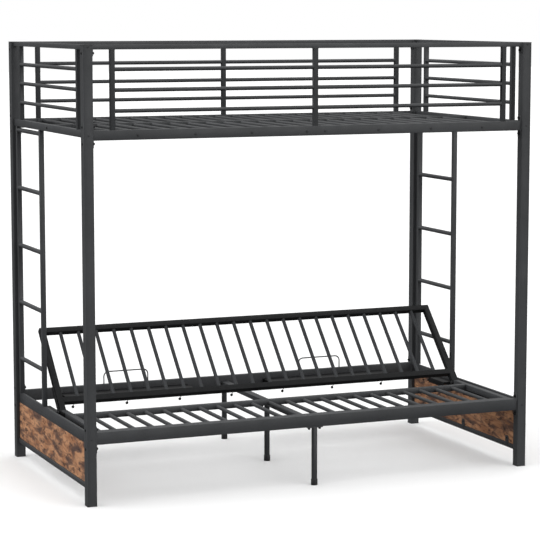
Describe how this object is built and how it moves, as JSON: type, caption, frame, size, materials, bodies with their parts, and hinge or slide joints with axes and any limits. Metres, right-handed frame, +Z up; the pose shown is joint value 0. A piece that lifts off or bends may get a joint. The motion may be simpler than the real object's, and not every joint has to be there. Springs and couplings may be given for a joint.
{
  "type": "metal bunk bed",
  "caption": "Metal bunk bed: a guarded upper berth over a slatted futon seat whose backrest folds flat, with a ladder at each end and wooden end panels.",
  "frame": {"origin": "on the floor, under the middle of the bed's bounding box", "axes": "+X along the bed's length to the right as seen from the front, +Y from the front to the back, +Z up"},
  "size_m": [1.988, 1.064, 1.83],
  "materials": {
    "frame_coat": "matte charcoal powder coat",
    "backrest_coat": "matte black powder coat",
    "bracket_coat": "black coat",
    "panel_wood": "rustic brown wood grain, matte",
    "cap_plastic": "black moulded",
    "pin_steel": "dark zinc"
  },
  "bodies": {
    "bed": {"post_front_left": "frame_coat", "post_back_left": "frame_coat", "post_front_right": "frame_coat", "post_back_right": "frame_coat", "foot_front_left": "cap_plastic", "foot_back_left": "cap_plastic", "foot_front_right": "cap_plastic", "foot_back_right": "cap_plastic", "cap_front_left": "cap_plastic", "cap_back_left": "cap_plastic", "cap_front_right": "cap_plastic", "cap_back_right": "cap_plastic", "guard_front": "frame_coat", "guard_back": "frame_coat", "guard_left": "frame_coat", "guard_right": "frame_coat", "upper_rail_front": "frame_coat", "upper_rail_back": "frame_coat", "upper_slats_front": "frame_coat", "upper_slats_back": "frame_coat", "upper_centre_beam": "frame_coat", "upper_end_rail_left": "frame_coat", "upper_end_rail_right": "frame_coat", "ladder_left": "frame_coat", "ladder_right": "frame_coat", "lower_rail_front": "frame_coat", "lower_rail_back": "frame_coat", "lower_end_rail_left": "frame_coat", "lower_end_rail_right": "frame_coat", "bottom_rail_left": "frame_coat", "bottom_rail_right": "frame_coat", "wood_panel_left": "panel_wood", "wood_panel_right": "panel_wood", "crossbeam": "frame_coat", "centre_leg_front": "frame_coat", "centre_leg_middle": "frame_coat", "centre_leg_back": "frame_coat", "leg_cap_front": "cap_plastic", "leg_cap_middle": "cap_plastic", "leg_cap_back": "cap_plastic", "seat_frame": "frame_coat", "seat_bar_left": "frame_coat", "seat_bar_right": "frame_coat", "bar_plug_left": "cap_plastic", "bar_plug_right": "cap_plastic", "hinge_plate_left": "bracket_coat", "hinge_plate_right": "bracket_coat", "hinge_pin_left": "pin_steel", "hinge_pin_right": "pin_steel", "rest_bracket_front_left": "bracket_coat", "rest_bracket_rear_left": "bracket_coat", "rest_bracket_front_right": "bracket_coat", "rest_bracket_rear_right": "bracket_coat", "rear_ledge_left": "bracket_coat", "rear_ledge_right": "bracket_coat", "wire_loop_left": "frame_coat", "wire_loop_right": "frame_coat"},
    "backrest": {"backrest_frame": "backrest_coat", "hinge_arm_left": "bracket_coat", "hinge_arm_right": "bracket_coat"}
  },
  "joints": [
    {"name": "backrest_fold", "type": "hinge", "parent": "bed", "child": "backrest", "pos_m": [0, 0.009, 0.2838], "axis": [1, 0, 0], "range_deg": [-45.5, 19.5]}
  ]
}
